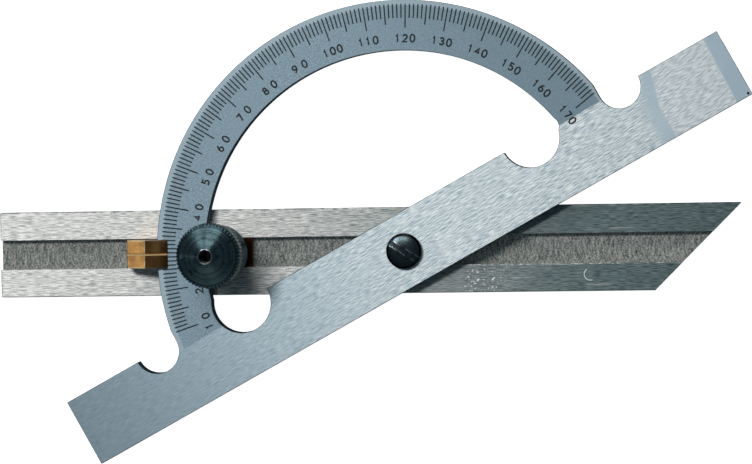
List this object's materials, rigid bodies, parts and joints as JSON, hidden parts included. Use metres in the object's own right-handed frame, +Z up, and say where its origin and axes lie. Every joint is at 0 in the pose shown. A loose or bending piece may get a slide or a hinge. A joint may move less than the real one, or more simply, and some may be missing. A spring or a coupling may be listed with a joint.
{
  "type": "bevel protractor",
  "caption": "Open-arc bevel protractor: graduated half-ring plate with a straight blade, pivoting and sliding on a grooved rail, with brass index and clamp knob",
  "frame": {"origin": "on the pivot axis, at the rail's flat underside", "axes": "+X along the rail towards its mitred end, +Y towards the arc's side, +Z up from the rail through the plate along the pivot axis"},
  "size_m": [0.122, 0.0739, 0.0192],
  "materials": {
    "ground_steel": "ground lengthwise, milled slot",
    "satin_steel": "satin arc, bar brushed lengthwise",
    "slide_brass": "milled brass",
    "index_brass": "milled brass with an engraved index line",
    "black_oxide": "black oxide on steel",
    "stud_steel": "turned steel",
    "black_knob": "turned, knurled and blackened steel"
  },
  "bodies": {
    "rail_body": {"rail": "ground_steel"},
    "pivot_carriage": {"pivot_block": "slide_brass", "pivot_screw": "black_oxide"},
    "plate_body": {"protractor_plate": "satin_steel"},
    "index_carriage": {"index_block": "index_brass", "clamp_stud": "stud_steel"},
    "knob_body": {"clamp_knob": "black_knob"}
  },
  "joints": [
    {"name": "pivot_slide", "type": "slide", "parent": "rail_body", "child": "pivot_carriage", "axis": [1, 0, 0], "range_m": [-0.02, 0.038]},
    {"name": "plate_turn", "type": "hinge", "parent": "pivot_carriage", "child": "plate_body", "pos_m": [0, 0, 0.0045], "axis": [0, 0, 1], "range_deg": [-18.75, 141.25]},
    {"name": "index_slide", "type": "slide", "parent": "rail_body", "child": "index_carriage", "axis": [1, 0, 0], "range_m": [-0.02, 0.038]},
    {"name": "knob_turn", "type": "hinge", "parent": "index_carriage", "child": "knob_body", "pos_m": [-0.0298, 0, 0.0125], "axis": [0, 0, 1], "range_deg": [0, 360]}
  ],
  "couplings": [
    {"joint": "index_slide", "follows": "pivot_slide", "ratio": 1}
  ]
}
